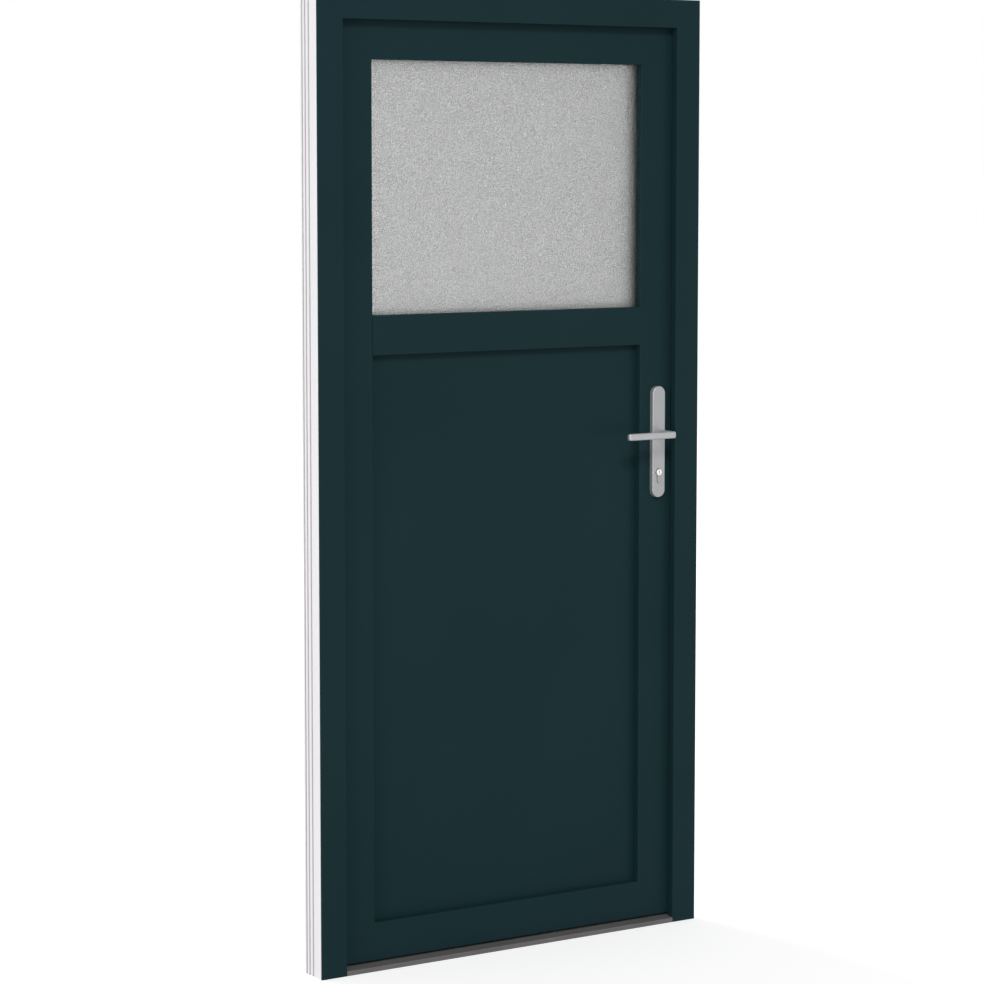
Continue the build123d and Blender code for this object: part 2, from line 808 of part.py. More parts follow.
faceplate_screw_heights = [
    faceplate_low + screw_head_radius * 2,
    (box_z[0][1] + case_low) / 2,
    cylinder_height - cylinder_total + cylinder_radius + cylinder_tail_width / 2,
    (case_high + box_z[1][0]) / 2,
    faceplate_high - screw_head_radius * 2,
]
faceplate_screw_lengths = [screw_length] * len(faceplate_screw_heights)
faceplate_screw_lengths[2] = backset + screw_head_radius
faceplate_screw_places = [(lock_x(leaf_edge), depth(lock_axis), height) for height in faceplate_screw_heights]

lock_faceplate = lock_block((leaf_edge, groove_floor), plate_t, (faceplate_low, faceplate_high))
bolt_hole_t = grow(bolt_t, bolt_clearance)
face_hole_s = (leaf_edge - overrun, groove_floor + overrun)
for span in side_bolts + [deadbolt_z, latch_z]:
    lock_faceplate -= lock_block(face_hole_s, bolt_hole_t, grow(span, bolt_clearance))
faceplate_screw_voids = [
    screw_void(place, (1, 0, 0), length)
    for place, length in zip(faceplate_screw_places, faceplate_screw_lengths)
]
for void in faceplate_screw_voids:
    lock_faceplate -= void

# The rods reach into the case and the boxes, and have a slot at each screw that they slide past
rod_spans = [
    (box_z[0][1] - rod_overlap - bolt_throw, case_low + rod_overlap),
    (case_high - rod_overlap, box_z[1][0] + rod_overlap),
]
rod_screw_heights = [faceplate_screw_heights[1:3], faceplate_screw_heights[3:4]]
slot_t = around(lock_axis, 2 * (screw_radius + rod_clearance))
drive_rods = []
for span, screw_heights in zip(rod_spans, rod_screw_heights):
    rod = lock_block(rod_s, rod_t, span)
    for height in screw_heights:
        slot_z = (height - bolt_throw - 2 * screw_radius, height + 2 * screw_radius)
        rod -= lock_block(grow(rod_s, overrun), slot_t, slot_z)
    drive_rods.append(rod)

lower_bolt, upper_bolt = [lock_block(bolt_s, bolt_t, span) for span in side_bolts]
deadbolt = lock_block(bolt_s, bolt_t, deadbolt_z)

# The latch is bevelled on its outside face, so that it is pushed in as the leaf closes
latch_s = (leaf_edge - latch_throw, groove_floor + latch_body)
latch_bolt = lock_block(latch_s, bolt_t, latch_z)
latch_edge = latch_bolt.edges().filter_by(Axis.Z).sort_by(lambda edge: edge.center().X - edge.center().Y)[-1]
latch_bolt = chamfer(latch_edge, latch_throw - bolt_clearance, bolt_thickness - latch_tail_thickness)
tail_t = (lock_axis + bolt_thickness / 2 - latch_tail_thickness, lock_axis + bolt_thickness / 2)
tail_s = (latch_s[1], case_s[1] - case_wall - latch_travel - bolt_clearance)
tail_z = (latch_z[1] - latch_tail_height, latch_z[1])
latch_bolt += lock_block(tail_s, tail_t, tail_z)

# Pockets and passages in the lock stile and its reinforcement
case_pocket_t = grow(case_t, case_clearance)
lock_pockets = [lock_block(grow(case_s, case_clearance), case_pocket_t, grow(case_z, case_clearance))]
for span in box_z:
    lock_pockets.append(lock_block(grow(box_s, case_clearance), case_pocket_t, grow(span, case_clearance)))
lock_voids = lock_pockets + [spindle_passage, cylinder_passage] + plate_screw_passages + faceplate_screw_voids
for void in lock_voids:
    lock_stile -= void
    lock_stile_steel -= void

# Strikes on the rebate floor of the lock jamb, with a hole for each bolt
strike_s = (frame_floor, frame_floor + strike_thickness)
strike_hole_s = (frame_floor - frame_wall - overrun, frame_floor + strike_thickness + overrun)
strike_hole_t = grow(bolt_t, bolt_clearance)
main_strike_z = (deadbolt_z[0] - strike_margin, latch_z[1] + strike_margin)


def strike(z_range, bolt_spans):
    plate = lock_block(strike_s, plate_t, z_range)
    for span in bolt_spans:
        plate -= lock_block(strike_hole_s, strike_hole_t, grow(span, strike_play))
    for void in strike_screw_voids(z_range):
        plate -= void
    return plate


def strike_screw_places(z_range):
    place_x = lock_x(strike_s[1])
    inset = strike_margin / 2
    return [(place_x, depth(lock_axis), height) for height in (z_range[0] + inset, z_range[1] - inset)]


def strike_screw_voids(z_range):
    return [screw_void(place, (-1, 0, 0), screw_length) for place in strike_screw_places(z_range)]


side_strike_z = [grow(span, strike_margin) for span in side_bolts]
main_strike = strike(main_strike_z, [deadbolt_z, latch_z])
lower_strike, upper_strike = [strike(span, [bolt]) for span, bolt in zip(side_strike_z, side_bolts)]
for span in side_bolts + [deadbolt_z]:
    lock_jamb -= lock_block(strike_hole_s, strike_hole_t, grow(span, strike_play))
for span in [main_strike_z] + side_strike_z:
    for void in strike_screw_voids(span):
        lock_jamb -= void

# Screws of the frame and of the leaf, with the holes for the hinge screws
frame_screws = []
leaf_screws = []
for middle in hinge_heights:
    for place in frame_hinge_screw_places(middle):
        frame_screws.append(screw(place, (0, 1, 0), screw_length))
        hinge_jamb -= screw_void(place, (0, 1, 0), screw_length)
        hinge_jamb_steel -= screw_void(place, (0, 1, 0), screw_length)
    for place in leaf_hinge_screw_places(middle):
        leaf_screws.append(screw(place, (0, 1, 0), screw_length))
        hinge_stile -= screw_void(place, (0, 1, 0), screw_length)
for span in [main_strike_z] + side_strike_z:
    for place in strike_screw_places(span):
        frame_screws.append(screw(place, (-1, 0, 0), screw_length))
for place, length in zip(faceplate_screw_places, faceplate_screw_lengths):
    leaf_screws.append(screw(place, (1, 0, 0), length))


# Handle plates, levers, spindle and follower

plate_spindle_y = spindle_height - plate_mid
plate_cylinder_y = cylinder_height - plate_mid
outer_base = Plane((spindle_x, depth(sash_face), plate_mid), x_dir=(1, 0, 0), z_dir=(0, -1, 0))
inner_base = Plane((spindle_x, depth(sash_back), plate_mid), x_dir=(-1, 0, 0), z_dir=(0, 1, 0))


def handle_plate():
    """A long plate with round ends, hollow at the back, with bosses and a bearing for the lever."""
    turned = Rot(0, 0, 90)
    plate = extrude(turned * SlotOverall(plate_length, plate_width), amount=plate_thickness)
    plate = fillet(plate.edges().group_by(Axis.Z)[-1], plate_edge_radius)
    pocket_depth = plate_thickness - plate_wall
    inner = SlotOverall(plate_length - 2 * plate_wall, plate_width - 2 * plate_wall)
    plate -= extrude(turned * inner, amount=pocket_depth)
    bearing = Circle(shank_radius + bearing_clearance + bearing_wall)
    plate += Pos(0, plate_spindle_y) * extrude(bearing, amount=plate_thickness - plate_wall)
    for hand in (-1, 1):
        plate += Pos(0, hand * plate_screw_step) * extrude(Circle(plate_boss_radius), amount=pocket_depth)
    shank_hole = extrude(Circle(shank_radius + bearing_clearance), amount=plate_thickness + overrun)
    plate -= Pos(0, plate_spindle_y, -overrun / 2) * shank_hole
    cylinder_hole = extrude(euro_outline(bearing_clearance), amount=plate_thickness + overrun)
    return plate - Pos(0, plate_cylinder_y, -overrun / 2) * cylinder_hole


def lever(reach):
    """A bent lever, rounded along its edges. Reach is 1 or -1, the way its grip points."""
    neck_low = plate_thickness + lever_face_gap
    neck_u = around(0, neck_width)
    grip_v = around(plate_thickness + grip_standoff, grip_thickness)
    plan = Polygon(
        (neck_u[0], neck_low),
        (neck_u[1], neck_low),
        (neck_u[1], grip_v[0]),
        (grip_reach, grip_v[0]),
        (grip_reach, grip_v[1]),
        (neck_u[0], grip_v[1]),
        align=None,
    )
    plan = rounded(plan, [(neck_u[0], grip_v[1])], elbow_outer_radius)
    plan = rounded(plan, [(neck_u[1], grip_v[0])], elbow_inner_radius)
    plan = rounded(plan, [(grip_reach, v) for v in grip_v], grip_tip_radius)
    bent = extrude(plan, amount=grip_height / 2, both=True)
    rims = bent.edges().group_by(Axis.Z)
    rims = [edge for edge in rims[0] + rims[-1] if edge.center().Y > neck_low + lever_face_gap]
    bent = Plane((0, 0, 0), x_dir=(reach, 0, 0), z_dir=(0, -reach, 0)) * fillet(rims, grip_edge_radius)
    shank_length = neck_low - shank_end_gap
    bent += Pos(0, 0, shank_end_gap + shank_length / 2) * Cylinder(shank_radius, shank_length)
    socket_side = spindle_side + 2 * spindle_clearance
    socket_depth = plate_thickness + spindle_engagement
    bent -= Pos(0, 0, socket_depth / 2) * Box(socket_side, socket_side, socket_depth)
    return Pos(0, plate_spindle_y) * bent


def plate_screw(height):
    """A long screw from the inner plate into the boss of the outer one."""
    head_t = inner_plate_face - plate_wall
    shank_t = (sash_face - plate_thickness + 2 * plate_wall, head_t)
    shank = across_leaf(Circle(plate_screw_radius), height, shank_t)
    head = across_leaf(Circle(plate_boss_radius - plate_wall / 2), height, (head_t, inner_plate_face))
    recess_plane = Plane((spindle_x, depth(inner_plate_face), height), z_dir=(0, 1, 0))
    return shank + head - recess_plane * cross_recess()


plate_screws = [plate_screw(height) for height in plate_screw_heights]
screw_holes = []
for height in plate_screw_heights:
    head_t = inner_plate_face - plate_wall
    outer_end = sash_face - plate_thickness + 2 * plate_wall - screw_clearance
    hole = across_leaf(Circle(plate_screw_radius + screw_clearance), height, (outer_end, head_t + overrun))
    head_radius = plate_boss_radius - plate_wall / 2 + screw_clearance
    screw_holes.append(hole)
    screw_holes.append(across_leaf(Circle(head_radius), height, (head_t, inner_plate_face + overrun)))
outer_handle_plate = outer_base * handle_plate()
inner_handle_plate = inner_base * handle_plate()
for hole in screw_holes:
    outer_handle_plate -= hole
    inner_handle_plate -= hole
outer_lever = outer_base * lever(-1)
inner_lever = inner_base * lever(1)

spindle_reach = plate_thickness + spindle_engagement
spindle_t = (sash_face - spindle_reach + spindle_clearance, sash_back + spindle_reach - spindle_clearance)
spindle = across_leaf(Rectangle(spindle_side, spindle_side), spindle_height, spindle_t)
follower_outline = Circle(follower_radius)
follower_outline += Pos(0, follower_lug_reach / 2) * Rectangle(follower_lug_width, follower_lug_reach)
socket_side = spindle_side + 2 * spindle_clearance
follower_outline -= Rectangle(socket_side, socket_side)
follower = across_leaf(follower_outline, spindle_height, around(lock_axis, follower_thickness))


# Profile cylinder: body, plugs and the cam between them

cylinder_t = (outer_plate_face - cylinder_proud, inner_plate_face + cylinder_proud)
cam_t = around(lock_axis, cam_width)
cam_gap_t = grow(cam_t, cam_clearance)
plug_bore = Circle(plug_radius + plug_clearance)
cylinder_body = across_leaf(euro_outline(0), cylinder_height, cylinder_t)
cylinder_body -= across_leaf(plug_bore, cylinder_height, grow(cylinder_t, overrun))
cylinder_body -= across_leaf(Circle(cam_reach + cam_clearance), cylinder_height, cam_gap_t)
cylinder_body -= faceplate_screw_voids[2]

outer_plug_t = (cylinder_t[0] - plug_proud, cam_gap_t[0])
inner_plug_t = (cam_gap_t[1], cylinder_t[1] + plug_proud)
keyway = Rectangle(keyway_width, keyway_height)
outer_keyway_t = (outer_plug_t[0] - overrun, outer_plug_t[0] + keyway_depth)
inner_keyway_t = (inner_plug_t[1] - keyway_depth, inner_plug_t[1] + overrun)
plug_outline = Circle(plug_radius)
outer_plug = across_leaf(plug_outline, cylinder_height, outer_plug_t)
outer_plug -= across_leaf(keyway, cylinder_height, outer_keyway_t)
inner_plug = across_leaf(plug_outline, cylinder_height, inner_plug_t)
inner_plug -= across_leaf(keyway, cylinder_height, inner_keyway_t)
cam_outline = Circle(cam_radius) + Pos(0, -cam_reach / 2) * Rectangle(cam_nose_width, cam_reach)
cylinder_cam = across_leaf(cam_outline & Circle(cam_reach), cylinder_height, cam_t)


# Every node and its solids

save("hinge_jamb", hinge_jamb)
save("lock_jamb", lock_jamb)
save("frame_head", frame_head)
save("hinge_jamb_steel", hinge_jamb_steel)
save("lock_jamb_steel", lock_jamb_steel)
save("head_steel", head_steel)
save("threshold", threshold)
save("frame_seal", frame_seal)
save("main_strike", main_strike)
save("upper_strike", upper_strike)
save("lower_strike", lower_strike)
save("frame_screws", *frame_screws)
save("hinge_pins", *hinge_pins)
for name, frame_half, leaf_half in zip(hinge_names, hinge_frame_halves, hinge_leaf_halves):
    save(f"{name}_hinge_frame_half", frame_half)
    save(f"{name}_hinge_leaf_half", leaf_half)
save("hinge_stile", hinge_stile)
save("lock_stile", lock_stile)
save("top_rail", top_rail)
save("bottom_rail", bottom_rail)
save("transom", transom)
save("hinge_stile_steel", hinge_stile_steel)
save("lock_stile_steel", lock_stile_steel)
save("top_rail_steel", top_rail_steel)
save("bottom_rail_steel", bottom_rail_steel)
save("transom_steel", transom_steel)
save("outer_pane", outer_pane)
save("inner_pane", inner_pane)
save("glass_spacer", glass_spacer)
save("infill_panel", infill_panel)
save("glass_gasket", glass_gasket)
save("panel_gasket", panel_gasket)
save("glass_beads", *glass_beads)
save("panel_beads", *panel_beads)
save("setting_blocks", *setting_blocks(glass_z), *setting_blocks(panel_z))
save("leaf_seal", leaf_seal)
save("bottom_seal", bottom_seal)
save("lock_faceplate", lock_faceplate)
save("leaf_screws", *leaf_screws)
save("lock_case", lock_case)
save("upper_lock_box", upper_lock_box)
save("lower_lock_box", lower_lock_box)
save("drive_rods", *drive_rods)
save("latch_bolt", latch_bolt)
save("deadbolt", deadbolt)
save("upper_bolt", upper_bolt)
save("lower_bolt", lower_bolt)
save("outer_handle_plate", outer_handle_plate)
save("inner_handle_plate", inner_handle_plate)
save("plate_screws", *plate_screws)
save("outer_lever", outer_lever)
save("inner_lever", inner_lever)
save("spindle", spindle)
save("follower", follower)
save("cylinder_body", cylinder_body)
save("cylinder_plugs", outer_plug, inner_plug)
save("cylinder_cam", cylinder_cam)
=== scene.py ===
import math

import bpy
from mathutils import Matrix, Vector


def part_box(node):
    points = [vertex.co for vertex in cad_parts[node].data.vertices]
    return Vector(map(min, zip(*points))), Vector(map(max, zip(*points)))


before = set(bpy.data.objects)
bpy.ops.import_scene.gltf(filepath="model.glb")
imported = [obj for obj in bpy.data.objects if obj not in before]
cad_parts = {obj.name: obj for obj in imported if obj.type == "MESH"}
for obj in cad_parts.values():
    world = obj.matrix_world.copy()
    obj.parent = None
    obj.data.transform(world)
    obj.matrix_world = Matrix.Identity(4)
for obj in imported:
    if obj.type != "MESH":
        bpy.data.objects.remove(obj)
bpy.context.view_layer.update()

# Lengths are in metres, in the part's own frame: X along the wall, Y to the room, Z up

# Camera, with angles in degrees and the lens in millimetres
camera_place = (-3.635, -5.546, 1.728)
camera_yaw = 32.96
camera_pitch = 5.47
camera_lens = 111.98
camera_shift_y = -0.04
level_angle = 90.0

# Light: the sky's even fill, and three lamps that point at the door
sky_fill = 0.42
lamp_target = (0.1, 0.0, 1.05)
key_place = (-6.5, -14.7, 12.8)
key_size = 5.0
key_watts = 1950.0
fill_place = (-8.0, -3.0, 2.0)
fill_size = 3.5
fill_watts = 190.0
back_place = (-1.5, 7.0, 6.0)
back_size = 3.0
back_watts = 330.0
white_light = (1, 1, 1, 1)

# Floor, whose glow grows over a reach of distances from the door
floor_half = 60.0
floor_tone = (0.72, 0.72, 0.72, 1)
floor_rough = 0.9
floor_reach = (1.5, 6.0)
floor_glow = (0.47, 0.75)

# Colours, linear
foil_tone = (0.0072, 0.0240, 0.0285, 1)
foil_tone_worn = (0.0086, 0.0268, 0.0315, 1)
white_tone = (0.84, 0.825, 0.845, 1)
white_tone_aged = (0.81, 0.80, 0.81, 1)
# Darker white painted as shade in the grooves of the frame's outer sides
white_tone_painted_shade = (0.57, 0.56, 0.57, 1)
rubber_tone = (0.009, 0.014, 0.016, 1)
rubber_tone_dusty = (0.015, 0.022, 0.024, 1)
sill_tone = (0.105, 0.100, 0.100, 1)
sill_tone_bright = (0.140, 0.134, 0.134, 1)
satin_tone = (0.340, 0.348, 0.356, 1)
satin_tone_bright = (0.390, 0.398, 0.406, 1)
lever_tone = (0.390, 0.398, 0.410, 1)
lever_tone_bright = (0.450, 0.458, 0.470, 1)
nickel_tone = (0.300, 0.298, 0.292, 1)
nickel_tone_bright = (0.345, 0.343, 0.336, 1)
# Plug tones: the plug's own polished metal, made paler than bare metal as a painted reflection of a lamp
plug_tone_painted_reflection = (0.86, 0.855, 0.84, 1)
plug_tone_bright_painted_reflection = (0.93, 0.925, 0.91, 1)
zinc_tone = (0.47, 0.48, 0.50, 1)
zinc_tone_bright = (0.60, 0.61, 0.63, 1)
galvanised_tone = (0.40, 0.42, 0.43, 1)
galvanised_tone_bright = (0.56, 0.58, 0.59, 1)
block_tone = (0.06, 0.16, 0.34, 1)
block_tone_pale = (0.09, 0.21, 0.40, 1)
glass_tone = (0.965, 0.955, 0.955, 1)
glass_tone_deep = (0.385, 0.380, 0.380, 1)
clear_tone = (0.93, 0.95, 0.945, 1)
clear_tone_deep = (0.90, 0.925, 0.92, 1)

# Kinds of noise: detail and roughness
plain_noise = (2.0, 0.5)
pebbly_noise = (2.0, 0.6)
cloudy_noise = (3.0, 0.5)
grainy_noise = (3.0, 0.6)
dusty_noise = (4.0, 0.65)

# Ranges of a pattern that are spread over a material's tones or roughness
whole_range = (0.0, 1.0)
noise_range = (0.3, 0.7)
aged_range = (0.35, 0.7)
dusty_range = (0.4, 0.75)
smear_range = (0.4, 0.8)
pebble_range = (0.45, 0.55)

# Scales below say about how many marks of a pattern stand side by side on a metre

# Profiles and panel
profile_cloud_scale = 2.3
profile_specular = 0.06
white_rough = (0.28, 0.36)
foil_grain_scale = 1500.0
foil_pore_scale = 420.0
foil_pore_stretch = (1.0, 1.0, 0.25)
foil_pore_share = 0.6
foil_rough = (0.36, 0.48)
foil_bump = 0.12
seam_share = 0.55

# White plastic and paint of beads and hinges
paint_cloud_scale = 3.1
paint_peel_scale = 700.0
paint_rough = (0.28, 0.38)
paint_specular = 0.4
paint_bump = 0.05

# Rubber
rubber_dust_scale = 60.0
rubber_skin_scale = 2200.0
rubber_rough = (0.62, 0.8)
rubber_specular = 0.1
rubber_bump = 0.1

# Metals
metal_line_share = 0.6
metal_cloud_scale = 14.0
metal_cloud_share = 0.4
metal_smoother = 0.05
metal_rougher = 0.06
metal_line_height = 0.0001
along_x = (0.03, 1.0, 1.0)
along_z = (1.0, 1.0, 0.03)
all_ways = (1.0, 1.0, 1.0)
spangle_scale = 130.0
spangle_rough = (0.34, 0.52)
spangle_bump = 0.06

# Setting blocks
block_cloud_scale = 90.0
block_rough = (0.42, 0.55)
block_specular = 0.4

# Glass
glass_ior = 1.45
glass_grain_scale = 430.0
glass_coarse_scale = 150.0
glass_coarse_share = 0.5
glass_rough = (0.30, 0.38)
glass_bump = 1.0
glass_grain_height = 0.003
clear_smear_scale = 7.0
clear_rough = (0.0, 0.03)

# Height of the finest patterns, such as the foil's grain
skin_height = 0.0002

# How far the foil wraps round an edge that is bare plastic behind it, and the slack of such edges
foil_wrap = 0.003
edge_slack = 0.0008

# Half the width of a welded mitre's line, and the depth of the rubber foot of the beads
seam_half = 0.0009
bead_gasket = 0.004

# Painted shade in the grooves of the frame's outer sides, a darker white where shade falls: where it
# starts and ends below the surface, and how far it stays from the frame's back
groove_shade_start = 0.0012
groove_bottom = 0.0055
groove_margin = 0.002

# Places read from the frame
frame_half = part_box("lock_jamb")[1].x
frame_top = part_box("frame_head")[1].z
frame_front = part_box("frame_head")[0].y
frame_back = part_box("frame_head")[1].y
upstand_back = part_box("frame_seal")[0].y
leaf_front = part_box("top_rail")[0].y
leaf_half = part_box("lock_faceplate")[1].x
leaf_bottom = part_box("bottom_seal")[1].z
leaf_top = frame_top - (frame_half - leaf_half)
lip_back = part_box("glass_gasket")[0].y
panel_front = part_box("infill_panel")[0].y
pane_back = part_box("inner_pane")[1].y

# Height at which the line of the leaf's lower mitres, drawn on outwards, meets the frame's side
lower_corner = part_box("panel_beads")[0].z - (frame_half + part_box("panel_beads")[0].x)


class Tree:
    """The nodes of a material or world, with its shader and short calls for the nodes used here."""

    def __init__(self, owner, shader):
        owner.use_nodes = True
        self.owner = owner
        self.tree = owner.node_tree
        self.shader = self.tree.nodes[shader]

    def put(self, socket, value):
        """Link a socket to another, or give it a value."""
        if isinstance(value, bpy.types.NodeSocket):
            self.tree.links.new(value, socket)
        else:
            socket.default_value = value

    def add(self, kind, inputs, **settings):
        """A new node with its settings and inputs."""
        node = self.tree.nodes.new(kind)
        for key, value in settings.items():
            setattr(node, key, value)
        for key, value in inputs.items():
            self.put(node.inputs[key], value)
        return node

    def set(self, **inputs):
        """Set shader inputs, named with underscores."""
        for key, value in inputs.items():
            self.put(self.shader.inputs[key.replace("_", " ")], value)

    def place(self):
        """The object's own coordinates."""
        return self.add("ShaderNodeTexCoord", {}).outputs["Object"]

    def axes(self, vector):
        """The x, y and z of coordinates."""
        return self.add("ShaderNodeSeparateXYZ", {0: vector}).outputs

    def math(self, operation, first, second=0.0):
        return self.add("ShaderNodeMath", {0: first, 1: second}, operation=operation).outputs[0]

    def least(self, *values):
        """The smallest of several values."""
        result = values[0]
        for value in values[1:]:
            result = self.math("MINIMUM", result, value)
        return result

    def plus(self, first, second, share):
        """A value with a share of another added."""
        return self.math("ADD", first, self.math("MULTIPLY", second, share))

    def stretch(self, vector, factors):
        """Coordinates scaled along each axis, for a grain that runs one way."""
        return self.add("ShaderNodeVectorMath", {0: vector, 1: factors}, operation="MULTIPLY").outputs[0]

    def noise(self, vector, scale, kind=plain_noise):
        detail, roughness = kind
        inputs = {"Vector": vector, "Scale": scale, "Detail": detail, "Roughness": roughness}
        return self.add("ShaderNodeTexNoise", inputs).outputs["Fac"]

    def cells(self, vector, scale):
        """A value of its own for each of many small cells."""
        cells = self.add("ShaderNodeTexVoronoi", {"Vector": vector, "Scale": scale})
        return self.add("ShaderNodeSeparateColor", {0: cells.outputs["Color"]}).outputs[0]

    def span(self, value, old, new=whole_range):
        """A value moved from one range to another, and kept inside it."""
        inputs = {0: value, 1: old[0], 2: old[1], 3: new[0], 4: new[1]}
        return self.add("ShaderNodeMapRange", inputs).outputs[0]

    def mix(self, factor, first, second):
        """A colour between two others."""
        node = self.add("ShaderNodeMix", {0: factor, 6: first, 7: second}, data_type="RGBA")
        return node.outputs[2]

    def bump(self, height, strength, distance=skin_height):
        inputs = {"Strength": strength, "Distance": distance, "Height": height}
        return self.add("ShaderNodeBump", inputs).outputs["Normal"]


def new_material(name):
    return Tree(bpy.data.materials.new(name), "Principled BSDF")


def dress(material, *names):
    """Give CAD nodes a material."""
    for name in names:
        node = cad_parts[name]
        if not node.material_slots:
            node.data.materials.append(material)
        for slot in node.material_slots:
            slot.material = material


def side_inset(tree, x, half):
    """How far a place lies in from the nearer side of a piece, which is half a width from the middle."""
    return tree.math("SUBTRACT", half, tree.math("ABSOLUTE", x))


def frame_inset(tree, x, z):
    """How far a place lies in from the frame's outer sides and top."""
    return tree.least(side_inset(tree, x, frame_half), tree.math("SUBTRACT", frame_top, z))


def seam_mask(tree, x, z, lower_z):
    """1 along the welded mitres, which run at 45 degrees through the corners."""
    side = side_inset(tree, x, frame_half)
    over = tree.math("ABSOLUTE", tree.math("SUBTRACT", side, tree.math("SUBTRACT", frame_top, z)))
    under = tree.math("ABSOLUTE", tree.math("SUBTRACT", side, tree.math("SUBTRACT", z, lower_z)))
    return tree.span(tree.least(over, under), (0.0, seam_half), (1.0, 0.0))


def groove_painted_shade(tree, x, y, z):
    """1 in the grooves of the frame's outer sides, where a darker white is painted as shade."""
    inset = frame_inset(tree, x, z)
    below = tree.span(inset, (0.0, groove_shade_start))
    above = tree.math("LESS_THAN", inset, groove_bottom)
    before = tree.math("LESS_THAN", y, frame_back - groove_margin)
    return tree.least(below, above, before)


def foil_reach(tree, y, inset, front, back):
    """1 on the outside face, and as far back as the foil goes where that isn't a bare outer edge."""
    on_face = tree.math("LESS_THAN", y, front + foil_wrap)
    before = tree.math("LESS_THAN", y, back + edge_slack)
    inward = tree.math("GREATER_THAN", inset, edge_slack)
    return tree.math("MAXIMUM", on_face, tree.math("MULTIPLY", before, inward))


def frame_foil(tree, x, y, z):
    """Foil on the outside face and the upstand, and a little way onto the bare outer sides."""
    return foil_reach(tree, y, frame_inset(tree, x, z), frame_front, upstand_back)


def leaf_foil(tree, x, y, z):
    """Foil on the outside face and the lips round the glass and panel, but not on the leaf's edge."""
    above = tree.math("SUBTRACT", leaf_top, z)
    below = tree.math("SUBTRACT", z, leaf_bottom)
    inset = tree.least(side_inset(tree, x, leaf_half), above, below)
    return foil_reach(tree, y, inset, leaf_front, lip_back)


def panel_foil(tree, x, y, z):
    """Foil on the outside skin of the panel."""
    return tree.math("LESS_THAN", y, panel_front + foil_wrap)


def two_tone(name, foil_mask, seams_down_to=None, groove_shade_mask=None):
    """Plastic profile: dark foil where the mask says so and bare white plastic elsewhere."""
    tree = new_material(name)
    whole = tree.place()
    x, y, z = tree.axes(whole)
    mask = foil_mask(tree, x, y, z)
    cloud = tree.noise(whole, profile_cloud_scale, cloudy_noise)
    grain = tree.noise(whole, foil_grain_scale, grainy_noise)
    pores = tree.noise(tree.stretch(whole, foil_pore_stretch), foil_pore_scale)
    foil = tree.mix(tree.span(cloud, noise_range), foil_tone, foil_tone_worn)
    white = tree.mix(tree.span(cloud, aged_range), white_tone, white_tone_aged)
    # Painted shade: where the mask says so, the white is darkened to stand in for shade in a recess
    if groove_shade_mask is not None:
        white = tree.mix(groove_shade_mask(tree, x, y, z), white, white_tone_painted_shade)
    colour = tree.mix(mask, white, foil)
    if seams_down_to is not None:
        seam = tree.math("MULTIPLY", seam_mask(tree, x, z, seams_down_to), seam_share)
        colour = tree.mix(seam, colour, rubber_tone)
    on_foil = tree.math("MULTIPLY", mask, tree.span(grain, noise_range, foil_rough))
    on_white = tree.span(cloud, noise_range, white_rough)
    roughness = tree.plus(on_foil, on_white, tree.math("SUBTRACT", 1.0, mask))
    height = tree.math("MULTIPLY", tree.plus(grain, pores, foil_pore_share), mask)
    tree.set(Base_Color=colour, Roughness=roughness, Specular_IOR_Level=profile_specular)
    tree.set(Normal=tree.bump(height, foil_bump))
    return tree.owner


def white_plastic(name, gasket):
    """Satin white plastic or paint, with a black rubber foot against the glass where there is one."""
    tree = new_material(name)
    whole = tree.place()
    cloud = tree.noise(whole, paint_cloud_scale, cloudy_noise)
    peel = tree.noise(whole, paint_peel_scale)
    colour = tree.mix(tree.span(cloud, aged_range), white_tone, white_tone_aged)
    if gasket:
        foot = tree.math("LESS_THAN", tree.axes(whole)["Y"], pane_back + bead_gasket)
        colour = tree.mix(foot, colour, rubber_tone)
    tree.set(Base_Color=colour, Specular_IOR_Level=paint_specular)
    tree.set(Roughness=tree.span(cloud, noise_range, paint_rough), Normal=tree.bump(peel, paint_bump))
    return tree.owner


def rubber(name):
    """Matt black rubber with a little dust."""
    tree = new_material(name)
    whole = tree.place()
    dust = tree.noise(whole, rubber_dust_scale, dusty_noise)
    skin = tree.noise(whole, rubber_skin_scale)
    colour = tree.mix(tree.span(dust, dusty_range), rubber_tone, rubber_tone_dusty)
    tree.set(Base_Color=colour, Specular_IOR_Level=rubber_specular)
    tree.set(Roughness=tree.span(dust, noise_range, rubber_rough), Normal=tree.bump(skin, rubber_bump))
    return tree.owner


def brushed(name, dark, bright, factors, scale, rough, bump, metallic=1.0):
    """Metal with a fine brushed grain, which is drawn out along the axis whose factor is small."""
    tree = new_material(name)
    whole = tree.place()
    lines = tree.noise(tree.stretch(whole, factors), scale, grainy_noise)
    cloud = tree.noise(whole, metal_cloud_scale, cloudy_noise)
    tone = tree.plus(tree.math("MULTIPLY", lines, metal_line_share), cloud, metal_cloud_share)
    colour = tree.mix(tree.span(tone, noise_range), dark, bright)
    roughness = tree.span(lines, noise_range, (rough - metal_smoother, rough + metal_rougher))
    tree.set(Base_Color=colour, Metallic=metallic, Roughness=roughness)
    tree.set(Normal=tree.bump(lines, bump, metal_line_height))
    return tree.owner


def galvanised(name):
    """Zinc-dipped steel with its spangle."""
    tree = new_material(name)
    flake = tree.cells(tree.place(), spangle_scale)
    colour = tree.mix(flake, galvanised_tone, galvanised_tone_bright)
    tree.set(Base_Color=colour, Metallic=1.0, Roughness=tree.span(flake, whole_range, spangle_rough))
    tree.set(Normal=tree.bump(flake, spangle_bump))
    return tree.owner


def block_plastic(name):
    """Coloured plastic of the setting blocks, a little cloudy."""
    tree = new_material(name)
    cloud = tree.noise(tree.place(), block_cloud_scale, cloudy_noise)
    tree.set(Base_Color=tree.mix(cloud, block_tone, block_tone_pale), Specular_IOR_Level=block_specular)
    tree.set(Roughness=tree.span(cloud, noise_range, block_rough))
    return tree.owner


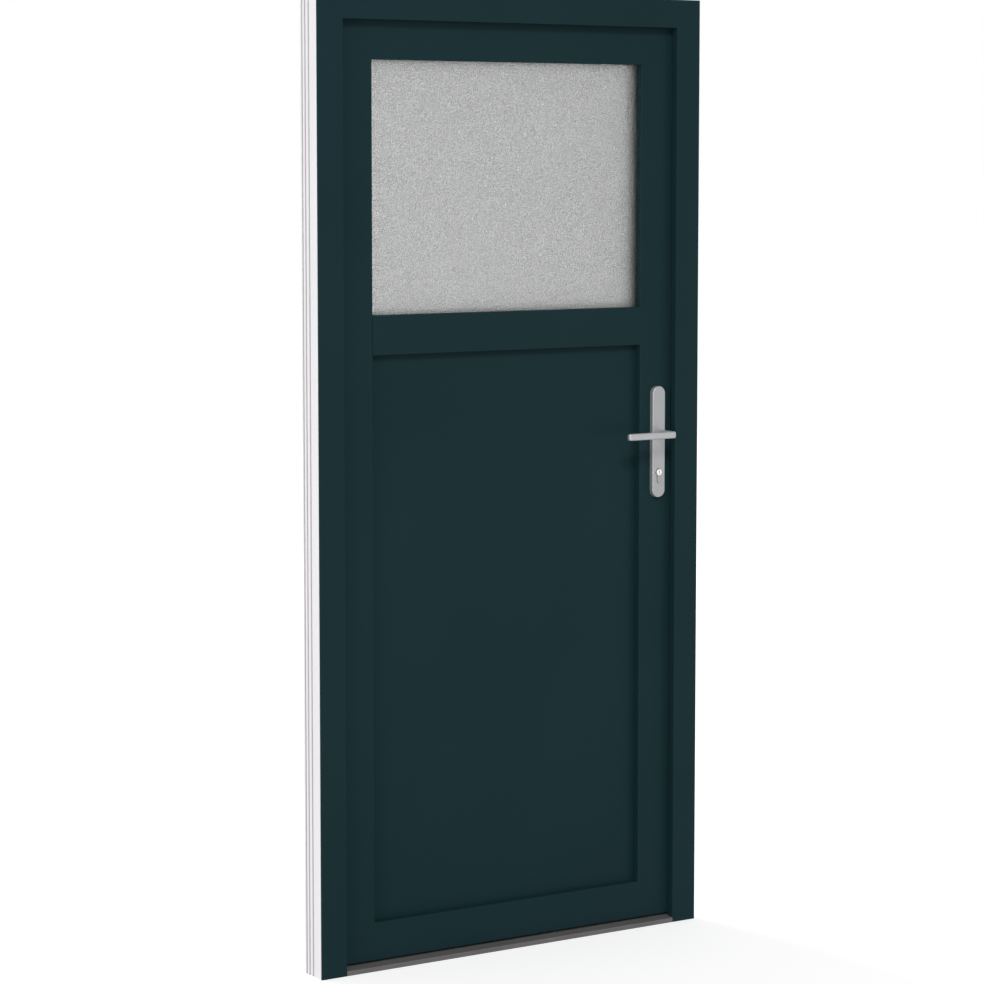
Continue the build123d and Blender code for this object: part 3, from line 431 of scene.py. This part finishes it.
def obscured_glass(name):
    """Rolled glass with a fine irregular grain that scatters what is behind it."""
    tree = new_material(name)
    whole = tree.place()
    grain = tree.noise(whole, glass_grain_scale, pebbly_noise)
    coarse = tree.noise(whole, glass_coarse_scale)
    colour = tree.mix(tree.span(grain, pebble_range), glass_tone_deep, glass_tone)
    height = tree.plus(grain, coarse, glass_coarse_share)
    tree.set(Base_Color=colour, Transmission_Weight=1.0, IOR=glass_ior)
    tree.set(Roughness=tree.span(coarse, noise_range, glass_rough))
    tree.set(Normal=tree.bump(height, glass_bump, glass_grain_height))
    return tree.owner


def clear_glass(name):
    """Plain glass with a faint smear."""
    tree = new_material(name)
    smear = tree.noise(tree.place(), clear_smear_scale, cloudy_noise)
    colour = tree.mix(smear, clear_tone_deep, clear_tone)
    tree.set(Base_Color=colour, Transmission_Weight=1.0, IOR=glass_ior)
    tree.set(Roughness=tree.span(smear, smear_range, clear_rough))
    return tree.owner


# Frame and leaf profiles, panel, beads and hinges. The frame has mitres at its top only
# The frame's white outer sides get a darker white in their grooves as painted shade
frame_profile = two_tone("frame_profile", frame_foil, frame_top, groove_painted_shade)
dress(frame_profile, "hinge_jamb", "lock_jamb", "frame_head")
leaf_profile = two_tone("leaf_profile", leaf_foil, lower_corner)
dress(leaf_profile, "hinge_stile", "lock_stile", "top_rail", "bottom_rail")
dress(two_tone("transom_profile", leaf_foil), "transom")
dress(two_tone("panel_skin", panel_foil), "infill_panel")
dress(white_plastic("bead_plastic", gasket=True), "glass_beads", "panel_beads")
hinge_names = [f"{place}_hinge_{half}_half"
               for place in ("lower", "middle", "upper") for half in ("frame", "leaf")]
dress(white_plastic("hinge_paint", gasket=False), "hinge_pins", *hinge_names)

# Glass, seals and blocks
dress(obscured_glass("obscured_glass"), "outer_pane")
dress(clear_glass("clear_glass"), "inner_pane")
dress(rubber("seal_rubber"),
      "frame_seal", "leaf_seal", "bottom_seal", "glass_gasket", "panel_gasket", "glass_spacer")
dress(block_plastic("block_plastic"), "setting_blocks")

# Metal
sill_metal = brushed("sill_metal", sill_tone, sill_tone_bright, along_x,
                     scale=900.0, rough=0.5, bump=0.06, metallic=0.3)
dress(sill_metal, "threshold")
satin_metal = brushed("satin_metal", satin_tone, satin_tone_bright, along_z,
                      scale=2600.0, rough=0.44, bump=0.03, metallic=0.6)
dress(satin_metal, "outer_handle_plate", "inner_handle_plate")
lever_metal = brushed("lever_metal", lever_tone, lever_tone_bright, along_x,
                      scale=2600.0, rough=0.46, bump=0.03, metallic=0.6)
dress(lever_metal, "outer_lever", "inner_lever")
cylinder_metal = brushed("cylinder_metal", nickel_tone, nickel_tone_bright, along_z,
                         scale=1800.0, rough=0.3, bump=0.02)
dress(cylinder_metal, "cylinder_body", "cylinder_cam")
# Polished plug whose pale tone and low metallic are a painted reflection of a lamp on its face
plug_metal_painted_reflection = brushed("plug_metal_painted_reflection", plug_tone_painted_reflection, plug_tone_bright_painted_reflection, along_z,
                     scale=1800.0, rough=0.2, bump=0.01, metallic=0.35)
dress(plug_metal_painted_reflection, "cylinder_plugs")
zinc_metal = brushed("zinc_metal", zinc_tone, zinc_tone_bright, along_z,
                     scale=1100.0, rough=0.32, bump=0.05)
dress(zinc_metal, "main_strike", "upper_strike", "lower_strike")
dress(zinc_metal, "lock_faceplate", "lock_case", "upper_lock_box", "lower_lock_box", "drive_rods")
dress(zinc_metal, "latch_bolt", "deadbolt", "upper_bolt", "lower_bolt", "spindle", "follower")
screw_metal = brushed("screw_metal", zinc_tone, zinc_tone_bright, all_ways,
                      scale=1600.0, rough=0.28, bump=0.04)
dress(screw_metal, "frame_screws", "leaf_screws", "plate_screws")
steel_names = [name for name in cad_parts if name.endswith("_steel")]
dress(galvanised("galvanised_steel"), *steel_names)


def seen_directly(tree):
    """1 for camera, glossy and transmission rays, 0 for the rays that light the object."""
    path = tree.add("ShaderNodeLightPath", {}).outputs
    seen = tree.math("MAXIMUM", path["Is Camera Ray"], path["Is Glossy Ray"])
    return tree.math("MAXIMUM", seen, path["Is Transmission Ray"])


def make_floor():
    """A pale floor that looks white in the light and keeps the shadow."""
    corners = [(-floor_half, -floor_half, 0), (floor_half, -floor_half, 0),
               (floor_half, floor_half, 0), (-floor_half, floor_half, 0)]
    mesh = bpy.data.meshes.new("floor")
    mesh.from_pydata(corners, [], [(0, 1, 2, 3)])
    floor = bpy.data.objects.new("floor", mesh)
    bpy.context.scene.collection.objects.link(floor)
    tree = new_material("floor")
    away = tree.add("ShaderNodeVectorMath", {0: tree.place()}, operation="LENGTH").outputs["Value"]
    glow = tree.span(away, floor_reach, floor_glow)
    tree.set(Base_Color=floor_tone, Roughness=floor_rough, Specular_IOR_Level=0.0)
    tree.set(Emission_Color=white_light)
    tree.set(Emission_Strength=tree.math("MULTIPLY", glow, seen_directly(tree)))
    floor.data.materials.append(tree.owner)


def make_world():
    """White where it is seen, and an even soft fill where it lights."""
    world = bpy.data.worlds.new("studio")
    tree = Tree(world, "Background")
    tree.set(Color=white_light, Strength=tree.span(seen_directly(tree), whole_range, (sky_fill, 1.0)))
    bpy.context.scene.world = world


def aim(thing, target):
    """Turn a lamp towards a point."""
    towards = [there - here for here, there in zip(thing.location, target)]
    flat = math.hypot(towards[0], towards[1])
    thing.rotation_euler = (math.atan2(flat, -towards[2]), 0.0, math.atan2(-towards[0], towards[1]))


def make_light(name, place, size, watts):
    """A round lamp that the glass doesn't show."""
    light = bpy.data.lights.new(name, "AREA")
    light.shape = "DISK"
    light.size = size
    light.energy = watts
    thing = bpy.data.objects.new(name, light)
    thing.location = place
    thing.visible_transmission = False
    bpy.context.scene.collection.objects.link(thing)
    aim(thing, lamp_target)


def make_camera():
    """The photograph's point of view."""
    data = bpy.data.cameras.new("camera")
    data.lens = camera_lens
    data.shift_y = camera_shift_y
    camera = bpy.data.objects.new("camera", data)
    camera.location = camera_place
    camera.rotation_euler = (math.radians(level_angle - camera_pitch), 0.0, math.radians(-camera_yaw))
    bpy.context.scene.collection.objects.link(camera)
    bpy.context.scene.camera = camera


make_floor()
make_world()
make_light("key", key_place, key_size, key_watts)
make_light("fill", fill_place, fill_size, fill_watts)
make_light("back", back_place, back_size, back_watts)
make_camera()
bpy.context.scene.view_settings.view_transform = "Standard"
